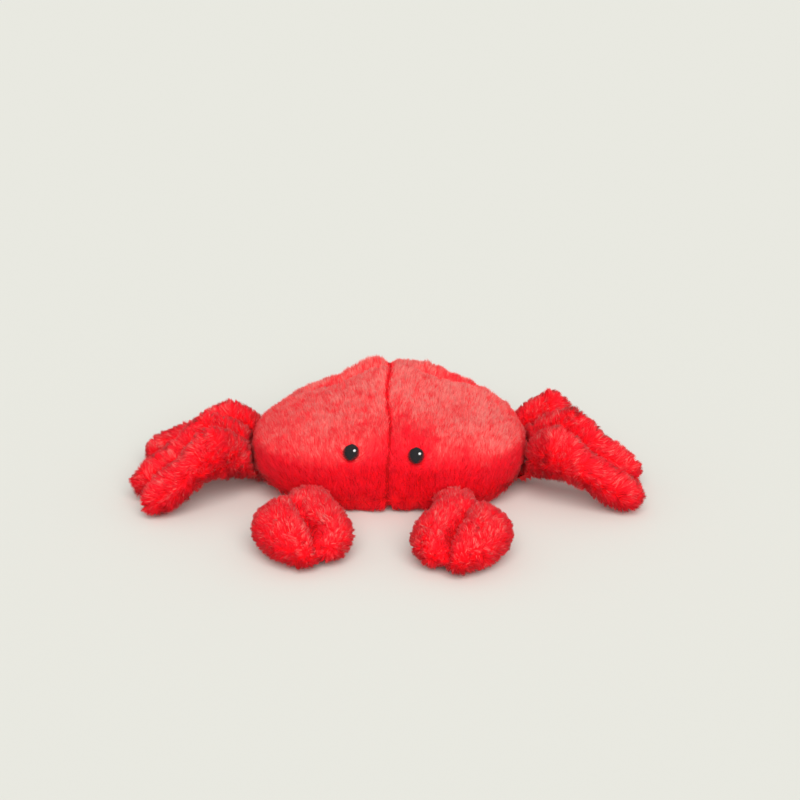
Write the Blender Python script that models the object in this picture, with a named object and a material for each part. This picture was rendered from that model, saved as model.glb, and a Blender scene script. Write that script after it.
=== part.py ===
"""Stuffed plush crab: a sewn body, two mitten claws, six bent legs and embroidered eyes.

Metres, +Z up. The face looks along -Y, the crab's outer reach lies along X, and the belly
rests on Z = 0. Every surface is the mean level of the pile.
"""
import math

import bmesh
import bpy
from mathutils import Matrix, Vector
from mathutils.bvhtree import BVHTree

# Gap kept between pieces that are sewn or pressed together
CLEARANCE = 0.0003

# Body: a bag whose widest line is a level loop; the reaches run from that line
BODY_WIDTH = 0.1715
SHOULDER_HEIGHT = 0.0495
WIDEST_Y = -0.030
WIDEST_Z = 0.029
FACE_REACH = 0.0545
REAR_REACH = 0.096
CREST_SET = 0.038
BELLY_PRESS = 0.0015

# Squareness of the body's outlines, where 2 is an ellipse
FACE_SQUARENESS = 2.7
REAR_SQUARENESS = 1.9
CREST_SQUARENESS = 2.0
DOME_SQUARENESS = 2.1
BELLY_SQUARENESS = 2.8
BROW_ROUNDNESS = 2.35
HUMP_ROUNDNESS = 1.65
CHIN_ROUNDNESS = 6.0
TAIL_ROUNDNESS = 2.6

# Centre seam: a furrow that wanders a little from side to side
SEAM_DEPTH = 0.0022
SEAM_HALF_WIDTH = 0.0025
SEAM_WANDER = 0.0012
SEAM_WANDER_LENGTH = 0.075
SEAM_WANDER_WIDTH = 0.010

# Mound of filling along the middle of the back
MOUND_Y = 0.010
MOUND_ACROSS = 0.026
MOUND_ALONG = 0.040
MOUND_RISE = 0.0085

# Fold across the back, and the swells and the dip about it as (x, y, radius, rise)
FOLD_Y = 0.027
FOLD_SLANT = 0.25
FOLD_WIDTH = 0.007
FOLD_DEPTH = 0.0080
BACK_SWELLS = (
    (-0.0130, 0.040, 0.015, 0.0090),
    (0.0240, 0.040, 0.026, 0.0090),
    (0.0640, 0.008, 0.022, 0.0080),
    (-0.0380, 0.016, 0.014, -0.0020),
)

# Cheeks of the face as (x, z, radius, rise)
CHEEKS = (
    (-0.052, 0.030, 0.022, 0.0015),
    (0.060, 0.012, 0.022, 0.0030),
)

# Eyes: embroidered ovals sunk in the pile, each with one small white stitch, at (x, z)
EYE_PLACES = {
    "left": (-0.0224, 0.0392),
    "right": (0.0165, 0.0380),
}
EYE_WIDTH = 0.0100
EYE_TALL = 0.0116
EYE_THICKNESS = 0.0022
HIGHLIGHT_DIAMETER = 0.0016
HIGHLIGHT_THICKNESS = 0.0008
HIGHLIGHT_ACROSS = 0.0021
HIGHLIGHT_UP = 0.0004

# Legs: stuffed tubes, half sizes across and in height
ROOT_ACROSS = 0.0095
ROOT_TALL = 0.0104
KNEE_ACROSS = 0.0108
KNEE_TALL = 0.0160
SHIN_ACROSS = 0.0118
SHIN_TALL = 0.0122
TIP_ACROSS = 0.0105
TIP_TALL = 0.0112
FOOT_PRESS = 0.0008
LEG_ROOT_Z = 0.0178
REAR_LEG_ROOT_Z = 0.0108
ROOT_DEPTH = 0.016

# Rings along the thigh and along the shin, as (share of the way, share of the change in size)
THIGH_RINGS = ((0.0, 0.0), (0.35, 0.5), (0.7, 1.0))
SHIN_RINGS = ((0.0, 0.0), (0.16, 0.0), (0.36, 1.0), (0.56, 1.0), (0.78, 1.0))

# Each leg's pose: side, its root as (place along the body, height), knee from the root as
# (outward, forward, up), and tip from the knee as (outward, forward)
LEG_POSES = {
    "leg_front_left": (-1, (-0.044, LEG_ROOT_Z), (0.0210, 0.0215, 0.0167), (0.0330, 0.0160)),
    "leg_middle_left": (-1, (-0.020, LEG_ROOT_Z), (0.0260, 0.0175, 0.0137), (0.0370, 0.0192)),
    "leg_rear_left": (-1, (0.005, REAR_LEG_ROOT_Z), (0.0225, 0.0110, 0.0152), (0.0435, 0.0070)),
    "leg_front_right": (1, (-0.045, LEG_ROOT_Z), (0.0160, 0.0190, 0.0157), (0.0435, 0.0120)),
    "leg_middle_right": (1, (-0.018, LEG_ROOT_Z), (0.0270, 0.0130, 0.0147), (0.0350, 0.0110)),
    "leg_rear_right": (1, (0.010, REAR_LEG_ROOT_Z), (0.0260, 0.0030, 0.0165), (0.0260, 0.0140)),
}

# Claws: an arm that runs on into the inner finger, and an outer finger, drawn once as
# (outward from the seam, forward of the face, centre height, half size across, half height)
ARM_AND_INNER_FINGER = (
    (0.0450, -0.0180, 0.0115, 0.0120, 0.0100),
    (0.0460, 0.0040, 0.0120, 0.0155, 0.0112),
    (0.0480, 0.0160, 0.0130, 0.0170, 0.0130),
    (0.0415, 0.0280, 0.0135, 0.0158, 0.0130),
    (0.0335, 0.0400, 0.0130, 0.0140, 0.0122),
    (0.0310, 0.0510, 0.0122, 0.0125, 0.0115),
    (0.0330, 0.0590, 0.0110, 0.0100, 0.0102),
)
OUTER_FINGER = (
    (0.0530, 0.0160, 0.0130, 0.0110, 0.0090),
    (0.0605, 0.0275, 0.0140, 0.0148, 0.0130),
    (0.0642, 0.0390, 0.0142, 0.0165, 0.0145),
    (0.0608, 0.0490, 0.0138, 0.0165, 0.0142),
    (0.0545, 0.0585, 0.0128, 0.0148, 0.0132),
    (0.0475, 0.0650, 0.0112, 0.0115, 0.0110),
)
# Each claw's pose: side, outward shift, forward shift
CLAW_POSES = {
    "claw_left": (-1, 0.0, -0.0010),
    "claw_right": (1, -0.0070, 0.0060),
}

# Fineness of the meshes
BODY_STATIONS = 22
BODY_RING_POINTS = 44
RING_FINE_STEPS = 360
LEG_SIDES = 16
CLAW_SIDES = 20
FINGER_STEPS = 2
CAP_RINGS = 3
EYE_SEGMENTS = 20
HIGHLIGHT_SEGMENTS = 12

# Linear colours
PILE_RED = (0.80, 0.022, 0.030, 1.0)
THREAD_BLACK = (0.012, 0.010, 0.011, 1.0)
THREAD_WHITE = (0.85, 0.85, 0.83, 1.0)


def clear_scene():
    for old in list(bpy.data.objects):
        bpy.data.objects.remove(old, do_unlink=True)


def material(name, colour, roughness):
    made = bpy.data.materials.new(name)
    made.use_nodes = True
    shader = made.node_tree.nodes["Principled BSDF"]
    shader.inputs["Base Color"].default_value = colour
    shader.inputs["Roughness"].default_value = roughness
    shader.inputs["Metallic"].default_value = 0.0
    return made


def add_object(name, mesh, finish, parent):
    made = bpy.data.objects.new(name, mesh)
    bpy.context.scene.collection.objects.link(made)
    made.parent = parent
    if finish is not None:
        mesh.materials.append(finish)
    return made


def hide_as_guide(guide):
    guide.hide_render = True
    guide.display_type = "WIRE"


def add_boolean(target, tool, operation):
    cut = target.modifiers.new(operation.lower() + "_" + tool.name, "BOOLEAN")
    cut.operation = operation
    cut.solver = "EXACT"
    cut.object = tool


def swell(share, power):
    """Superellipse: 1 in the middle, 0 where share is 1 or -1."""
    return (1.0 - min(abs(share), 1.0) ** power) ** (1.0 / power)


def bell(distance, width):
    return math.exp(-(distance / width) ** 2)


def resample_loop(points, count):
    """Points spaced evenly along a closed loop, starting at its first point."""
    lengths = [0.0]
    for here, there in zip(points, points[1:] + points[:1]):
        lengths.append(lengths[-1] + (there - here).length)
    spaced = []
    leg = 0
    for step in range(count):
        target = lengths[-1] * step / count
        while lengths[leg + 1] < target:
            leg += 1
        share = (target - lengths[leg]) / (lengths[leg + 1] - lengths[leg])
        spaced.append(points[leg].lerp(points[(leg + 1) % len(points)], share))
    return spaced


def loft(name, rings, start_pole, end_pole):
    """Closed skin over rings of equal length, with a pole closing each end."""
    shape = bmesh.new()
    loops = [[shape.verts.new(point) for point in ring] for ring in rings]
    for lower, upper in zip(loops, loops[1:]):
        for index in range(len(lower)):
            after = (index + 1) % len(lower)
            shape.faces.new((lower[index], lower[after], upper[after], upper[index]))
    for loop, pole in ((loops[0], start_pole), (loops[-1], end_pole)):
        centre = shape.verts.new(pole)
        for index in range(len(loop)):
            shape.faces.new((centre, loop[index], loop[(index + 1) % len(loop)]))
    bmesh.ops.recalc_face_normals(shape, faces=shape.faces)
    mesh = bpy.data.meshes.new(name)
    shape.to_mesh(mesh)
    shape.free()
    mesh.shade_smooth()
    return mesh


def side_x(y):
    """Half width of the body's plan outline at y."""
    reach, power = (FACE_REACH, FACE_SQUARENESS) if y < WIDEST_Y else (REAR_REACH, REAR_SQUARENESS)
    return BODY_WIDTH / 2 * swell((y - WIDEST_Y) / reach, power)


def face_y(x):
    """Front edge of the body's plan outline at x."""
    return WIDEST_Y - FACE_REACH * swell(x / (BODY_WIDTH / 2), FACE_SQUARENESS)


def body_ring(x):
    """Outline of the body across Y and Z at x, from the face over the crest to the belly."""
    share = x / (BODY_WIDTH / 2)
    rear_y = WIDEST_Y + REAR_REACH * swell(share, REAR_SQUARENESS)
    crest_y = WIDEST_Y + CREST_SET * swell(share, CREST_SQUARENESS)
    rise = (SHOULDER_HEIGHT - WIDEST_Z) * swell(share, DOME_SQUARENESS)
    drop = (WIDEST_Z + BELLY_PRESS) * swell(share, BELLY_SQUARENESS)
    points = []
    for step in range(RING_FINE_STEPS):
        angle = 2.0 * math.pi * step / RING_FINE_STEPS
        ahead, above = math.cos(angle), math.sin(angle)
        if ahead >= 0.0:
            reach = face_y(x) - crest_y
            roundness = BROW_ROUNDNESS if above >= 0.0 else CHIN_ROUNDNESS
        else:
            reach = rear_y - crest_y
            roundness = HUMP_ROUNDNESS if above >= 0.0 else TAIL_ROUNDNESS
        height = rise if above >= 0.0 else -drop
        y = crest_y + reach * abs(ahead) ** (2.0 / roundness)
        z = WIDEST_Z + height * abs(above) ** (2.0 / roundness)
        points.append(Vector((x, y, z)))
    return resample_loop(points, BODY_RING_POINTS)


def seam_x(y):
    return SEAM_WANDER * math.sin(2.0 * math.pi * y / SEAM_WANDER_LENGTH)


def body_relief(point):
    """Height of folds, seams and swells of filling above the plain bag."""
    x, y, z = point
    upper = max(0.0, min(1.0, (z - WIDEST_Z) / (SHOULDER_HEIGHT - WIDEST_Z)))
    relief = -SEAM_DEPTH * bell(x, SEAM_HALF_WIDTH) * min(1.0, z / WIDEST_Z)
    relief += MOUND_RISE * upper * bell(x, MOUND_ACROSS) * bell(y - MOUND_Y, MOUND_ALONG)
    relief -= FOLD_DEPTH * upper * bell(y - FOLD_Y + FOLD_SLANT * abs(x), FOLD_WIDTH)
    for swell_x, swell_y, radius, rise in BACK_SWELLS:
        relief += rise * upper * bell(math.hypot(x - swell_x, y - swell_y), radius)
    if y < WIDEST_Y:
        for cheek_x, cheek_z, radius, rise in CHEEKS:
            relief += rise * bell(math.hypot(x - cheek_x, z - cheek_z), radius)
    return relief


def body_mesh(name, growth):
    """Bag with its relief, grown outward by growth."""
    half = BODY_WIDTH / 2
    stations = {half * math.sin(math.pi * (step / BODY_STATIONS - 0.5))
                for step in range(1, BODY_STATIONS)}
    stations |= {-SEAM_HALF_WIDTH, SEAM_HALF_WIDTH, -2.0 * SEAM_HALF_WIDTH, 2.0 * SEAM_HALF_WIDTH}
    rings = [body_ring(x) for x in sorted(stations)]
    mesh = loft(name, rings, (-half, WIDEST_Y, WIDEST_Z), (half, WIDEST_Y, WIDEST_Z))
    moved = []
    for vertex in mesh.vertices:
        point = vertex.co + vertex.normal * (body_relief(vertex.co) + growth)
        point.x += seam_x(point.y) * bell(point.x, SEAM_WANDER_WIDTH)
        point.z = max(point.z, -growth)
        moved.append(point)
    for vertex, point in zip(mesh.vertices, moved):
        vertex.co = point
    mesh.update()
    return mesh


def spline(keys, steps):
    """Smooth Catmull-Rom curve through rows of numbers, with steps between two keys."""
    padded = [keys[0]] + list(keys) + [keys[-1]]
    rows = []
    for index in range(len(keys) - 1):
        before, start, end, after = padded[index:index + 4]
        for step in range(steps):
            t = step / steps
            rows.append([
                0.5 * (2 * b + (c - a) * t + (2 * a - 5 * b + 4 * c - d) * t ** 2
                       + (3 * b - a - 3 * c + d) * t ** 3)
                for a, b, c, d in zip(before, start, end, after)
            ])
    rows.append(list(keys[-1]))
    return rows


def tube_ring(centre, along, across, tall, stretch, sides):
    """Elliptical ring square to along, its tall axis lengthened by stretch."""
    level = along.cross(Vector((0.0, 0.0, 1.0))).normalized()
    upright = level.cross(along).normalized()
    return [
        centre + level * across * math.cos(angle) + upright * tall * stretch * math.sin(angle)
        for angle in (2.0 * math.pi * step / sides for step in range(sides))
    ]


def tube_mesh(name, centres, halves, sides):
    """Tube along centres with a round end, its lowest side pressed flat on the floor."""
    runs = [(after - here).normalized() for here, after in zip(centres, centres[1:])]
    rings = []
    for index, (centre, (across, tall)) in enumerate(zip(centres, halves)):
        coming = runs[max(index - 1, 0)]
        going = runs[min(index, len(runs) - 1)]
        along = (coming + going).normalized()
        rings.append(tube_ring(centre, along, across, tall, 1.0 / along.dot(going), sides))
    end = runs[-1]
    across, tall = halves[-1]
    for ring in range(1, CAP_RINGS + 1):
        angle = 0.5 * math.pi * ring / (CAP_RINGS + 1)
        centre = centres[-1] + end * across * math.sin(angle)
        shrink = math.cos(angle)
        rings.append(tube_ring(centre, end, across * shrink, tall * shrink, 1.0, sides))
    for ring in rings:
        for point in ring:
            point.z = max(point.z, 0.0)
    return loft(name, rings, centres[0], centres[-1] + end * across)


def leg_mesh(name, side, root_place, knee_step, tip_step, growth):
    """Bent tube from inside the body over the knee to a tip that rests on the floor."""
    outward, forward, up = knee_step
    root_y, root_z = root_place
    root = Vector((side * side_x(root_y), root_y, root_z))
    knee = root + Vector((side * outward, -forward, up))
    tip = Vector((knee.x + side * tip_step[0], knee.y - tip_step[1], TIP_TALL - FOOT_PRESS))
    sizes = {
        "root": Vector((ROOT_ACROSS, ROOT_TALL)),
        "knee": Vector((KNEE_ACROSS, KNEE_TALL)),
        "shin": Vector((SHIN_ACROSS, SHIN_TALL)),
        "tip": Vector((TIP_ACROSS, TIP_TALL)),
    }
    keys = [(root - (knee - root).normalized() * ROOT_DEPTH, sizes["root"])]
    for share, change in THIGH_RINGS:
        keys.append((root.lerp(knee, share), sizes["root"].lerp(sizes["knee"], change)))
    for share, change in SHIN_RINGS:
        keys.append((knee.lerp(tip, share), sizes["knee"].lerp(sizes["shin"], change)))
    keys.append((tip, sizes["tip"]))
    halves = [(size.x + growth, size.y + growth) for _, size in keys]
    return tube_mesh(name, [centre for centre, _ in keys], halves, LEG_SIDES)


def finger_mesh(name, keys, side, outward, forward):
    """Curved tube of a claw through its keys, on one side of the seam."""
    base_y = face_y(0.0)
    rows = spline(keys, FINGER_STEPS)
    centres = [Vector((side * (row[0] + outward), base_y - row[1] - forward, row[2]))
               for row in rows]
    return tube_mesh(name, centres, [(row[3], row[4]) for row in rows], CLAW_SIDES)


def oval_mesh(name, width, tall, thickness, segments):
    """Lens with its width along X, its height along Y and its thickness along Z."""
    shape = bmesh.new()
    bmesh.ops.create_uvsphere(shape, u_segments=segments, v_segments=segments // 2, radius=0.5)
    bmesh.ops.scale(shape, vec=(width, tall, thickness), verts=shape.verts)
    mesh = bpy.data.meshes.new(name)
    shape.to_mesh(mesh)
    shape.free()
    mesh.shade_smooth()
    return mesh


def seat_on(tree, x, z):
    """Place on the body's face at x and z: X to the right, Y up the surface, Z outward."""
    start = Vector((x, WIDEST_Y - 2.0 * FACE_REACH, z))
    place, normal, _, _ = tree.ray_cast(start, Vector((0.0, 1.0, 0.0)))
    right = Vector((0.0, 0.0, 1.0)).cross(normal).normalized()
    up = normal.cross(right)
    seat = Matrix((right, up, normal)).transposed().to_4x4()
    seat.translation = place
    return seat


def add_eye(label, place, body, tree, parent, black, white):
    """Eye sunk half its thickness into the body, and its stitch sunk the same way into it."""
    seat = seat_on(tree, *place)
    spare = 2.0 * CLEARANCE
    mesh = oval_mesh("eye_" + label, EYE_WIDTH, EYE_TALL, EYE_THICKNESS, EYE_SEGMENTS)
    eye = add_object("eye_" + label, mesh, black, parent)
    eye.matrix_local = seat
    mesh = oval_mesh("eye_pocket_" + label, EYE_WIDTH + spare, EYE_TALL + spare,
                     EYE_THICKNESS + spare, EYE_SEGMENTS)
    pocket = add_object("eye_pocket_" + label, mesh, None, parent)
    pocket.matrix_local = seat
    hide_as_guide(pocket)
    add_boolean(body, pocket, "DIFFERENCE")

    offset = math.hypot(2.0 * HIGHLIGHT_ACROSS / EYE_WIDTH, 2.0 * HIGHLIGHT_UP / EYE_TALL)
    level = EYE_THICKNESS / 2 * math.sqrt(1.0 - offset ** 2)
    stitch_seat = seat @ Matrix.Translation((HIGHLIGHT_ACROSS, HIGHLIGHT_UP, level))
    mesh = oval_mesh("eye_highlight_" + label, HIGHLIGHT_DIAMETER, HIGHLIGHT_DIAMETER,
                     HIGHLIGHT_THICKNESS, HIGHLIGHT_SEGMENTS)
    stitch = add_object("eye_highlight_" + label, mesh, white, parent)
    stitch.matrix_local = stitch_seat
    mesh = oval_mesh("stitch_pocket_" + label, HIGHLIGHT_DIAMETER + spare,
                     HIGHLIGHT_DIAMETER + spare, HIGHLIGHT_THICKNESS + spare, HIGHLIGHT_SEGMENTS)
    stitch_pocket = add_object("stitch_pocket_" + label, mesh, None, parent)
    stitch_pocket.matrix_local = stitch_seat
    hide_as_guide(stitch_pocket)
    add_boolean(eye, stitch_pocket, "DIFFERENCE")


def add_limbs(parent, red):
    """Legs and claws, each ending at the body's surface less the clearance."""
    cutter = add_object("body_clearance", body_mesh("body_clearance", CLEARANCE), None, parent)
    hide_as_guide(cutter)
    pressed_by = {}
    for name, pose in LEG_POSES.items():
        side = pose[0]
        leg = add_object(name, leg_mesh(name, *pose, 0.0), red, parent)
        add_boolean(leg, cutter, "DIFFERENCE")
        if side in pressed_by:
            add_boolean(leg, pressed_by[side], "DIFFERENCE")
        mesh = leg_mesh(name + "_clearance", *pose, CLEARANCE)
        pressed_by[side] = add_object(name + "_clearance", mesh, None, parent)
        hide_as_guide(pressed_by[side])
    for name, (side, outward, forward) in CLAW_POSES.items():
        mesh = finger_mesh(name, ARM_AND_INNER_FINGER, side, outward, forward)
        claw = add_object(name, mesh, red, parent)
        mesh = finger_mesh(name + "_outer_finger", OUTER_FINGER, side, outward, forward)
        outer = add_object(name + "_outer_finger", mesh, None, parent)
        hide_as_guide(outer)
        add_boolean(claw, outer, "UNION")
        add_boolean(claw, cutter, "DIFFERENCE")


def centre_on_footprint(root):
    """Move the root so that the middle of the crab's footprint is the origin."""
    bpy.context.view_layer.update()
    depsgraph = bpy.context.evaluated_depsgraph_get()
    corners = []
    for piece in root.children:
        if not piece.hide_render:
            evaluated = piece.evaluated_get(depsgraph)
            shape = evaluated.to_mesh()
            corners += [evaluated.matrix_world @ vertex.co for vertex in shape.vertices]
            evaluated.to_mesh_clear()
    for axis in (0, 1):
        values = [corner[axis] for corner in corners]
        root.location[axis] = -(min(values) + max(values)) / 2.0
    bpy.context.view_layer.update()


def build_crab():
    clear_scene()
    red = material("red_pile", PILE_RED, 0.9)
    black = material("black_thread", THREAD_BLACK, 0.45)
    white = material("white_thread", THREAD_WHITE, 0.5)
    root = bpy.data.objects.new("crab", None)
    bpy.context.scene.collection.objects.link(root)

    body = add_object("body", body_mesh("body", 0.0), red, root)
    shape = bmesh.new()
    shape.from_mesh(body.data)
    tree = BVHTree.FromBMesh(shape)
    shape.free()
    for label, place in EYE_PLACES.items():
        add_eye(label, place, body, tree, root, black, white)
    add_limbs(root, red)
    centre_on_footprint(root)


build_crab()
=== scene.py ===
"""Looks of the plush crab: stuffed skins under a pile of fine strands, and embroidered eyes.

Metres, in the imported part's frame: +Z up, the face along -Y, the outer reach along X.
"""

import math

import bpy
import numpy as np
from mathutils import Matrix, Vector
from mathutils.bvhtree import BVHTree
from mathutils.kdtree import KDTree


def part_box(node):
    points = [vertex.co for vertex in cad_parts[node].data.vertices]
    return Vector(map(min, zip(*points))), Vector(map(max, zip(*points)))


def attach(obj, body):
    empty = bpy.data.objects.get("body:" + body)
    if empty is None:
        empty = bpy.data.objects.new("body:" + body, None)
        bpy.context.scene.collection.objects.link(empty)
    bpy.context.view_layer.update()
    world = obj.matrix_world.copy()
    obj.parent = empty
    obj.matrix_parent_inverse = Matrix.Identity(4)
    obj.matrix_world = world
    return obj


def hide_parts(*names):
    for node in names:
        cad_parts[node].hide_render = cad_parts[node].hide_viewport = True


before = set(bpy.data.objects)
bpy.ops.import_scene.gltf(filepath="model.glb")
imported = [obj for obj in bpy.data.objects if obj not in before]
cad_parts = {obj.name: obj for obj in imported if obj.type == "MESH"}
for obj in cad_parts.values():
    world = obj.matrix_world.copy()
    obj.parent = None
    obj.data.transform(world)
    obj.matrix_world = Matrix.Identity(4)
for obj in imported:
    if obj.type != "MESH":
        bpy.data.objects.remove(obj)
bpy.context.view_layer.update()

UP = np.array((0.0, 0.0, 1.0))
ACROSS = np.array((1.0, 0.0, 0.0))

LEGS = ("leg_front_left", "leg_middle_left", "leg_rear_left",
        "leg_front_right", "leg_middle_right", "leg_rear_right")
CLAWS = ("claw_left", "claw_right")
SOFT_NODES = ("body",) + LEGS + CLAWS

BODY_LOW, BODY_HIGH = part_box("body")
SEAM_X = (BODY_LOW.x + BODY_HIGH.x) / 2
FACE_Y = BODY_LOW.y

# Centre seam of the body, as in the part: it wanders from side to side along the body
SEAM_WANDER = 0.0012
SEAM_WANDER_LENGTH = 0.075
SEAM_PHASE_Y = 0.0845
SEAM_FURROW = 0.0005
SEAM_FURROW_WIDTH = 0.0022

# Crosswise fold in front of the rear lobes, as in the part and pressed in a little more
FOLD_PLACE = 0.1115
FOLD_SLANT = 0.25
FOLD_WIDTH = 0.006
FOLD_DEPTH = 0.0035
FOLD_REACH_LEFT = 0.040
FOLD_REACH_RIGHT = 0.068
FOLD_END = 0.012

# Ridge along the middle of the back, where the fold runs out
RIDGE_X = 0.010
RIDGE_WIDTH = 0.012

# Cleft between a claw's fingers, as (in from its outer side, behind its front end)
CLEFT = ((0.0285, 0.0490), (0.0320, 0.0375), (0.0362, 0.0275), (0.0392, 0.0180), (0.0412, 0.0080))
CLEFT_WIDTH = 0.0030
CLEFT_DEPTH = 0.0045

# Camera, measured from the middle of the body and from its face
CAMERA_ASIDE = 0.00686
CAMERA_BACK = 1.0122
CAMERA_HEIGHT = 0.5172
CAMERA_PITCH = 66.5
CAMERA_LENS = 85.0
CAMERA_SENSOR = 36.0
CAMERA_CLIP_END = 50.0

# Light: a soft overhead key and an even surround
KEY_STRENGTH = 2.62
KEY_ANGLE = 60.0
KEY_TILT = (44.0, 8.0, 0.0)
SURROUND = 0.56
LIGHT_BOUNCES = 10
FLOOR_COLOUR = (0.7046, 0.7046, 0.6505, 1.0)
BACKDROP_COLOUR = (0.8135, 0.8135, 0.7510, 1.0)
FLOOR_HALF = 6.0


def mesh_arrays(mesh):
    """Vertex places, vertex normals and triangles of a mesh as arrays."""
    places = np.zeros(len(mesh.vertices) * 3, np.float32)
    mesh.vertices.foreach_get("co", places)
    normals = np.zeros(len(mesh.vertices) * 3, np.float32)
    mesh.vertex_normals.foreach_get("vector", normals)
    mesh.calc_loop_triangles()
    triangles = np.zeros(len(mesh.loop_triangles) * 3, np.int32)
    mesh.loop_triangles.foreach_get("vertices", triangles)
    return (places.reshape(-1, 3).astype(float), normals.reshape(-1, 3).astype(float),
            triangles.reshape(-1, 3))


def set_places(mesh, places):
    mesh.vertices.foreach_set("co", np.ascontiguousarray(places, np.float32).ravel())
    mesh.update()


def unit(vectors):
    lengths = np.linalg.norm(vectors, axis=-1, keepdims=True)
    return vectors / np.maximum(lengths, 1e-12)


def on_surface(vectors, normals):
    """The part of each vector that lies along the surface."""
    return vectors - normals * np.sum(vectors * normals, axis=-1, keepdims=True)


def bell(distance, width):
    return np.exp(-(distance / width) ** 2)


def fade(value):
    """Share from 0 to 1, cut off at both ends."""
    return np.clip(value, 0.0, 1.0)


def ripple(points, wavelength, rng, count=7):
    """Smooth noise of about unit size that repeats over wavelength in every direction."""
    total = np.zeros(len(points))
    for _ in range(count):
        direction = unit(rng.normal(size=3))
        phase = rng.uniform(0.0, 2.0 * math.pi)
        stretch = rng.uniform(0.75, 1.35)
        total += np.sin(points @ direction * (2.0 * math.pi * stretch / wavelength) + phase)
    return total / math.sqrt(count / 2.0)


def ripple_vectors(points, wavelength, rng):
    return np.stack([ripple(points, wavelength, rng) for _ in range(3)], axis=1)


def seam_at(y):
    """X of the centre seam at each y."""
    along = (y - FACE_Y - SEAM_PHASE_Y) / SEAM_WANDER_LENGTH
    return SEAM_X + SEAM_WANDER * np.sin(2.0 * math.pi * along)


def aside_of(points):
    """Distance of each point from the centre seam, positive to the right."""
    return points[:, 0] - seam_at(points[:, 1])


def node_tree_of(name):
    """Search tree over a CAD node's surface."""
    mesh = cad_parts[name].data
    mesh.calc_loop_triangles()
    return BVHTree.FromPolygons([v.co for v in mesh.vertices],
                                [tuple(t.vertices) for t in mesh.loop_triangles])


def distances_to(tree, places):
    return np.array([tree.find_nearest(Vector(place))[3] for place in places])


# Materials

PILE_TONES = (
    (0.0, (0.50, 0.002, 0.006)),
    (0.16, (0.97, 0.003, 0.012)),
    (0.32, (1.0, 0.005, 0.020)),
    (0.55, (1.0, 0.013, 0.034)),
    (0.75, (1.0, 0.065, 0.070)),
    (1.0, (1.0, 0.300, 0.255)),
)
# Colour along a strand: deeper, darker red toward the roots as painted shade deep in the pile,
# paler at the tips
PILE_ROOT_SHADE = (
    (0.0, (1.0, 0.35, 0.40)),
    (0.45, (1.0, 0.75, 0.78)),
    (1.0, (1.0, 1.0, 1.0)),
)
BACKING_TONES = ((0.3, (0.97, 0.004, 0.010)), (0.7, (1.0, 0.008, 0.018)))
BLACK_THREAD = ((0.3, (0.003, 0.003, 0.004)), (0.7, (0.011, 0.009, 0.010)))
WHITE_THREAD = ((0.3, (0.72, 0.72, 0.70)), (0.7, (0.88, 0.88, 0.86)))


def new_material(name, roughness):
    made = bpy.data.materials.new(name)
    made.use_nodes = True
    shader = made.node_tree.nodes["Principled BSDF"]
    shader.inputs["Roughness"].default_value = roughness
    return made, made.node_tree, shader


def ramp_node(tree, stops):
    made = tree.nodes.new("ShaderNodeValToRGB")
    while len(made.color_ramp.elements) < len(stops):
        made.color_ramp.elements.new(0.5)
    for element, (place, colour) in zip(made.color_ramp.elements, stops):
        element.position = place
        element.color = (*colour, 1.0)
    return made


def mottled(tree, shader, scale, detail, stops):
    """Noise through a ramp as the base colour; the noise node is returned."""
    where = tree.nodes.new("ShaderNodeTexCoord")
    noise = tree.nodes.new("ShaderNodeTexNoise")
    noise.inputs["Scale"].default_value = scale
    noise.inputs["Detail"].default_value = detail
    tree.links.new(where.outputs["Object"], noise.inputs["Vector"])
    tones = ramp_node(tree, stops)
    tree.links.new(noise.outputs["Fac"], tones.inputs["Fac"])
    tree.links.new(tones.outputs["Color"], shader.inputs["Base Color"])
    return noise


def pile_material():
    """Red pile: its tone runs across the map and the height along a strand runs up it, with painted
    shade darkening it toward the roots.
    """
    made, tree, shader = new_material("red_pile", 0.75)
    place = tree.nodes.new("ShaderNodeUVMap")
    place.uv_map = "OFBake"
    split = tree.nodes.new("ShaderNodeSeparateXYZ")
    tree.links.new(place.outputs["UV"], split.inputs["Vector"])
    tones = ramp_node(tree, PILE_TONES)
    heights = ramp_node(tree, PILE_ROOT_SHADE)
    tree.links.new(split.outputs["X"], tones.inputs["Fac"])
    tree.links.new(split.outputs["Y"], heights.inputs["Fac"])
    mix = tree.nodes.new("ShaderNodeMix")
    mix.data_type = "RGBA"
    mix.blend_type = "MULTIPLY"
    mix.inputs["Factor"].default_value = 1.0
    tree.links.new(tones.outputs["Color"], mix.inputs["A"])
    tree.links.new(heights.outputs["Color"], mix.inputs["B"])
    tree.links.new(mix.outputs["Result"], shader.inputs["Base Color"])
    shader.inputs["Specular IOR Level"].default_value = 0.15
    shader.inputs["Sheen Weight"].default_value = 0.12
    shader.inputs["Sheen Roughness"].default_value = 0.40
    shader.inputs["Sheen Tint"].default_value = (1.0, 0.64, 0.58, 1.0)
    return made


def backing_material():
    """Knitted backing that the pile grows from, mottled red."""
    made, tree, shader = new_material("red_backing", 0.95)
    noise = mottled(tree, shader, 900.0, 3.0, BACKING_TONES)
    bump = tree.nodes.new("ShaderNodeBump")
    bump.inputs["Strength"].default_value = 0.6
    bump.inputs["Distance"].default_value = 0.0005
    tree.links.new(noise.outputs["Fac"], bump.inputs["Height"])
    tree.links.new(bump.outputs["Normal"], shader.inputs["Normal"])
    shader.inputs["Specular IOR Level"].default_value = 0.1
    return made


def thread_material(name, tones, roughness, sheen):
    made, tree, shader = new_material(name, roughness)
    mottled(tree, shader, 2500.0, 2.0, tones)
    shader.inputs["Specular IOR Level"].default_value = 0.35
    shader.inputs["Sheen Weight"].default_value = sheen
    return made


# Stuffed skins

SKIN_VOXEL = 0.0025
SKIN_LEAST_Z = 0.0006
BODY_INSET = 0.0016
LIMB_INSET = 0.0024

# Farthest that the filling pushes a point of a skin out, and the share of it allowed for
SWELL_CAP = 0.0012
SWELL_ALLOWANCE = 0.6
SWELL_PRESSURE = 4.0
SWELL_FRAMES = 20

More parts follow.
